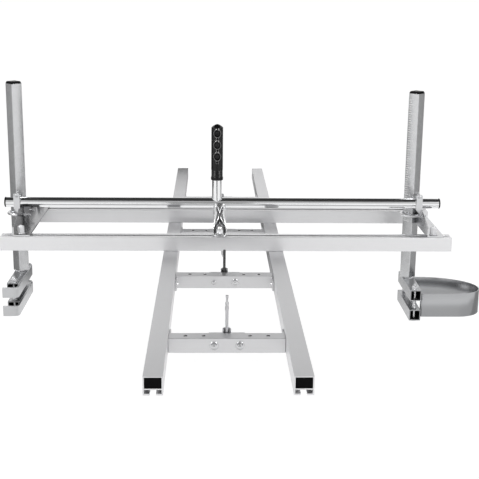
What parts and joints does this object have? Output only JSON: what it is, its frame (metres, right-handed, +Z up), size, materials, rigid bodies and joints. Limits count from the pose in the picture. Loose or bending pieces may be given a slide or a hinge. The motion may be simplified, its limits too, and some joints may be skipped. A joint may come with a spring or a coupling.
{
  "type": "chainsaw mill",
  "caption": "Chainsaw mill on a guide ladder: sliding rail frame with push bar and handle, two depth posts, bar clamps and a nose guard.",
  "frame": {"origin": "centre of the flat underside of the third crossbar from the front, which lies on the log", "axes": "+Z up, +Y along the ladder in the direction in which the mill is pushed, +X to the right seen from behind the mill"},
  "size_m": [1.0455, 1.5, 0.5126],
  "materials": {
    "aluminium": "satin anodised extrusion",
    "chrome": "bright chrome plating",
    "galvanised": "galvanised, faint spangle",
    "bright_steel": "bright zinc-plated steel, brushed along its length",
    "zinc": "zinc-plated fasteners",
    "black_plastic": "matte black moulding",
    "black_rubber": "black rubber grip"
  },
  "bodies": {
    "ladder": {"ladder_rail_left": "aluminium", "rail_plug_front_left": "black_plastic", "rail_plug_back_left": "black_plastic", "ladder_rail_right": "aluminium", "rail_plug_front_right": "black_plastic", "rail_plug_back_right": "black_plastic", "crossbar_1": "aluminium", "rod_guide_1": "galvanised", "guide_bolt_1_left": "zinc", "guide_bolt_1_right": "zinc", "crossbar_2": "aluminium", "rod_guide_2": "galvanised", "guide_bolt_2_left": "zinc", "guide_bolt_2_right": "zinc", "crossbar_3": "aluminium", "rod_guide_3": "galvanised", "guide_bolt_3_left": "zinc", "guide_bolt_3_right": "zinc", "crossbar_4": "aluminium", "rod_guide_4": "galvanised", "guide_bolt_4_left": "zinc", "guide_bolt_4_right": "zinc"},
    "rod_1": {"log_rod_1": "zinc"},
    "rod_2": {"log_rod_2": "zinc"},
    "rod_3": {"log_rod_3": "zinc"},
    "rod_4": {"log_rod_4": "zinc"},
    "mill": {"front_rail": "aluminium", "back_rail": "aluminium", "push_bar": "chrome", "push_bar_cap_left": "black_plastic", "push_bar_cap_right": "black_plastic", "handle_stem": "chrome", "handle_grip": "black_rubber", "handle_brace": "chrome", "brace_bolt": "zinc"},
    "left_end": {"left_bracket": "galvanised", "left_foot_bolt_front": "zinc", "left_foot_bolt_back": "zinc", "left_saddle_bolt": "zinc", "left_u_bolt": "zinc"},
    "left_depth": {"left_post": "galvanised", "left_post_cap": "black_plastic", "left_upper_clamp": "bright_steel"},
    "left_jaw": {"left_lower_clamp": "bright_steel", "left_jaw_bolt_front": "zinc", "left_jaw_bolt_back": "zinc"},
    "right_end": {"right_bracket": "galvanised", "right_foot_bolt_front": "zinc", "right_foot_bolt_back": "zinc", "right_saddle_bolt": "zinc", "right_u_bolt": "zinc"},
    "right_depth": {"right_post": "galvanised", "right_post_cap": "black_plastic", "right_upper_clamp": "bright_steel", "nose_guard": "bright_steel"},
    "right_jaw": {"right_lower_clamp": "bright_steel", "right_jaw_bolt_front": "zinc", "right_jaw_bolt_back": "zinc"}
  },
  "joints": [
    {"name": "mill_travel", "type": "slide", "parent": "ladder", "child": "mill", "axis": [0, 1, 0], "range_m": [-0.105, 0.6]},
    {"name": "rod_1_slide", "type": "slide", "parent": "ladder", "child": "rod_1", "axis": [0, 0, 1], "range_m": [-0.06, 0]},
    {"name": "rod_2_slide", "type": "slide", "parent": "ladder", "child": "rod_2", "axis": [0, 0, 1], "range_m": [-0.036, 0.024]},
    {"name": "rod_3_slide", "type": "slide", "parent": "ladder", "child": "rod_3", "axis": [0, 0, 1], "range_m": [0, 0.062]},
    {"name": "rod_4_slide", "type": "slide", "parent": "ladder", "child": "rod_4", "axis": [0, 0, 1], "range_m": [0, 0.062]},
    {"name": "left_end_slide", "type": "slide", "parent": "mill", "child": "left_end", "axis": [1, 0, 0], "range_m": [0, 0.24]},
    {"name": "right_end_slide", "type": "slide", "parent": "mill", "child": "right_end", "axis": [1, 0, 0], "range_m": [-0.24, 0]},
    {"name": "left_depth_slide", "type": "slide", "parent": "left_end", "child": "left_depth", "axis": [0, 0, 1], "range_m": [-0.22, 0.07]},
    {"name": "right_depth_slide", "type": "slide", "parent": "right_end", "child": "right_depth", "axis": [0, 0, 1], "range_m": [-0.22, 0.07]},
    {"name": "left_jaw_slide", "type": "slide", "parent": "left_depth", "child": "left_jaw", "axis": [0, 0, 1], "range_m": [0, 0.012]},
    {"name": "right_jaw_slide", "type": "slide", "parent": "right_depth", "child": "right_jaw", "axis": [0, 0, 1], "range_m": [0, 0.016]}
  ]
}
